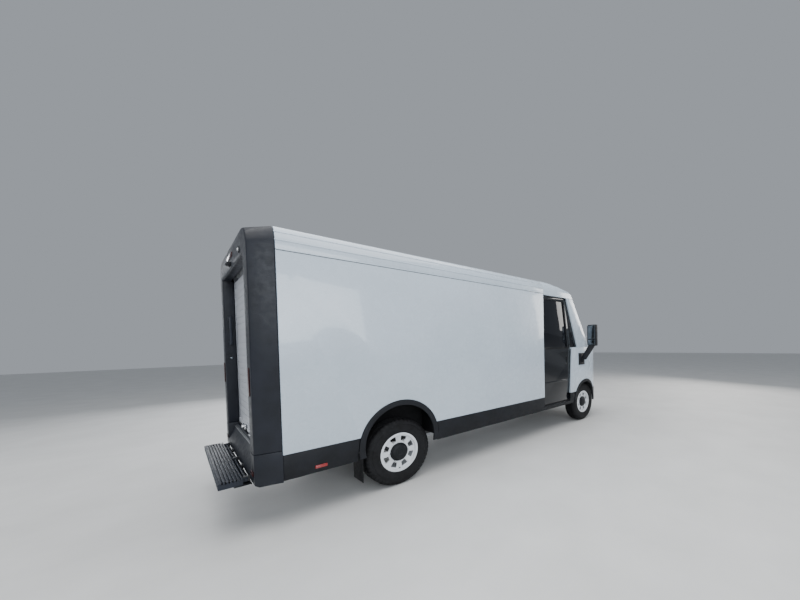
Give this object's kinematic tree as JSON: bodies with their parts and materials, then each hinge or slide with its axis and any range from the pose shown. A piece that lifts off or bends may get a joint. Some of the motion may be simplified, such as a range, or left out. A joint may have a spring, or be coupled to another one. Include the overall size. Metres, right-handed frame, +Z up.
{
  "type": "mail delivery truck",
  "caption": "Walk-in electric mail delivery van: white box body, black rear portal with roller shutter and folding step, pocket sliding cab doors and short sloping nose.",
  "frame": {"origin": "centre of the footprint on the ground, between the wheels", "axes": "-Y forwards, +Y to the rear step, -X to the vehicle's right side, +Z up"},
  "size_m": [2.6, 6.248, 2.65],
  "materials": {
    "frame_black": "satin chassis paint",
    "battery_grey": "satin cast and extruded",
    "deck_grey": "fine grip pattern",
    "cab_plastic": "grained",
    "trim_black": "grained moulded plastic",
    "white_paint": "gloss clear coat",
    "lining_grey": "smooth composite",
    "portal_black": "satin moulded, fine grain",
    "lamp_clear": "clear lens",
    "glass_clear": "lightly tinted",
    "glass_dark": "tinted",
    "lamp_red": "red lens",
    "track_metal": "satin extrusion",
    "shutter_silver": "satin anodised slats",
    "door_black": "gloss black",
    "rubber_black": "matt rubber",
    "seat_fabric": "woven cloth",
    "tyre": "rubber",
    "wheel_white": "white enamel"
  },
  "bodies": {
    "body": {"chassis_rails": "frame_black", "battery_pack": "battery_grey", "cargo_floor": "deck_grey", "cab_floor": "cab_plastic", "wheel_housings": "trim_black", "wall_skin_right": "white_paint", "wall_skin_left": "white_paint", "wall_liners": "lining_grey", "roof_panel": "white_paint", "roof_rails": "white_paint", "roof_front_cap": "white_paint", "bulkhead": "lining_grey", "rear_posts": "portal_black", "rear_header": "portal_black", "rear_bumper": "portal_black", "side_skirts": "trim_black", "arch_trims": "trim_black", "fender_right": "white_paint", "fender_left": "white_paint", "front_fascia": "portal_black", "headlamps": "lamp_clear", "windshield": "glass_clear", "quarter_windows": "glass_dark", "a_pillars": "white_paint", "cowl": "trim_black", "dashboard": "cab_plastic", "tail_lamps": "lamp_red", "shutter_tracks": "track_metal", "step_brackets": "frame_black", "rear_axle": "frame_black", "front_subframe": "frame_black", "mirror_bases": "trim_black"},
    "shutter": {"shutter_rail": "shutter_silver", "shutter_curtain": "shutter_silver"},
    "barrel": {"shutter_barrel": "shutter_silver"},
    "door_right": {"door_right": "door_black", "door_glass_right": "glass_dark"},
    "door_left": {"door_left": "door_black", "door_glass_left": "glass_dark"},
    "bulkhead_door": {"bulkhead_door": "lining_grey"},
    "step": {"step_tread": "frame_black"},
    "hood": {"hood": "white_paint"},
    "mirror_right": {"mirror_right": "trim_black"},
    "mirror_left": {"mirror_left": "trim_black"},
    "wiper_right": {"wiper_right": "rubber_black"},
    "wiper_left": {"wiper_left": "rubber_black"},
    "brake_pedal": {"brake_pedal": "rubber_black"},
    "accelerator_pedal": {"accelerator_pedal": "rubber_black"},
    "steering_wheel": {"steering_wheel": "cab_plastic"},
    "knuckle_right": {"knuckle_right": "frame_black"},
    "knuckle_left": {"knuckle_left": "frame_black"},
    "driver_seat": {"driver_seat": "seat_fabric"},
    "wheel_rear_right": {"tyre_rear_right": "tyre", "rim_rear_right": "wheel_white"},
    "wheel_rear_left": {"tyre_rear_left": "tyre", "rim_rear_left": "wheel_white"},
    "wheel_front_right": {"tyre_front_right": "tyre", "rim_front_right": "wheel_white"},
    "wheel_front_left": {"tyre_front_left": "tyre", "rim_front_left": "wheel_white"}
  },
  "joints": [
    {"name": "shutter_lift", "type": "slide", "parent": "body", "child": "shutter", "axis": [0, 0, 1], "range_m": [0, 1.6], "deforming": ["shutter_curtain"]},
    {"name": "barrel_turn", "type": "hinge", "parent": "body", "child": "barrel", "pos_m": [0, 2.735, 2.502], "axis": [1, 0, 0], "range_deg": [-1500, 10]},
    {"name": "door_slide_right", "type": "slide", "parent": "body", "child": "door_right", "axis": [0, 1, 0], "range_m": [0, 0.7]},
    {"name": "door_slide_left", "type": "slide", "parent": "body", "child": "door_left", "axis": [0, 1, 0], "range_m": [0, 0.7]},
    {"name": "bulkhead_door_slide", "type": "slide", "parent": "body", "child": "bulkhead_door", "axis": [-1, 0, 0], "range_m": [0, 0.58]},
    {"name": "step_fold", "type": "hinge", "parent": "body", "child": "step", "pos_m": [0, 2.944, 0.437], "axis": [1, 0, 0], "range_deg": [0, 85]},
    {"name": "hood_open", "type": "hinge", "parent": "body", "child": "hood", "pos_m": [0, -2.701, 1.442], "axis": [-1, 0, 0], "range_deg": [0, 50]},
    {"name": "mirror_fold_right", "type": "hinge", "parent": "body", "child": "mirror_right", "pos_m": [-1.075, -2.081, 1.255], "axis": [0, 0, -1], "range_deg": [-5, 75]},
    {"name": "mirror_fold_left", "type": "hinge", "parent": "body", "child": "mirror_left", "pos_m": [1.075, -2.081, 1.255], "axis": [0, 0, 1], "range_deg": [-5, 75]},
    {"name": "wiper_sweep_right", "type": "hinge", "parent": "body", "child": "wiper_right", "pos_m": [-0.64, -2.64777, 1.52305], "axis": [0, -0.8443, 0.5358], "range_deg": [0, 95]},
    {"name": "wiper_sweep_left", "type": "hinge", "parent": "body", "child": "wiper_left", "pos_m": [0.02, -2.64777, 1.52305], "axis": [0, -0.8443, 0.5358], "range_deg": [0, 95]},
    {"name": "brake_press", "type": "hinge", "parent": "body", "child": "brake_pedal", "pos_m": [0.42, -2.066, 0.9], "axis": [-1, 0, 0], "range_deg": [0, 18], "stiffness_Nm_per_rad": 9, "springref_deg": -5.16},
    {"name": "accelerator_press", "type": "hinge", "parent": "body", "child": "accelerator_pedal", "pos_m": [0.54, -2.066, 0.9], "axis": [-1, 0, 0], "range_deg": [0, 18], "stiffness_Nm_per_rad": 9, "springref_deg": -5.16},
    {"name": "steer_right", "type": "hinge", "parent": "body", "child": "knuckle_right", "pos_m": [-0.7895, -2.244, 0.372], "axis": [0, 0, 1], "range_deg": [-30, 30]},
    {"name": "steer_left", "type": "hinge", "parent": "body", "child": "knuckle_left", "pos_m": [0.7895, -2.244, 0.372], "axis": [0, 0, 1], "range_deg": [-30, 30]},
    {"name": "steering_wheel_turn", "type": "hinge", "parent": "body", "child": "steering_wheel", "pos_m": [0.45, -1.684, 1.18], "axis": [0, 0.866, 0.5], "range_deg": [-480, 480]},
    {"name": "seat_slide", "type": "slide", "parent": "body", "child": "driver_seat", "axis": [0, 1, 0], "range_m": [-0.1, 0.06]},
    {"name": "wheel_spin_rear_right", "type": "hinge", "parent": "body", "child": "wheel_rear_right", "pos_m": [-0.8575, 1.646, 0.372], "axis": [1, 0, 0], "continuous": true},
    {"name": "wheel_spin_rear_left", "type": "hinge", "parent": "body", "child": "wheel_rear_left", "pos_m": [0.8575, 1.646, 0.372], "axis": [1, 0, 0], "continuous": true},
    {"name": "wheel_spin_front_right", "type": "hinge", "parent": "knuckle_right", "child": "wheel_front_right", "pos_m": [-0.8575, -2.244, 0.372], "axis": [1, 0, 0], "continuous": true},
    {"name": "wheel_spin_front_left", "type": "hinge", "parent": "knuckle_left", "child": "wheel_front_left", "pos_m": [0.8575, -2.244, 0.372], "axis": [1, 0, 0], "continuous": true}
  ],
  "couplings": [
    {"joint": "steer_left", "follows": "steer_right", "ratio": 1},
    {"joint": "steering_wheel_turn", "follows": "steer_right", "ratio": 15.5},
    {"joint": "wiper_sweep_left", "follows": "wiper_sweep_right", "ratio": 1},
    {"joint": "barrel_turn", "follows": "shutter_lift", "rad_per_m": -14.184}
  ]
}
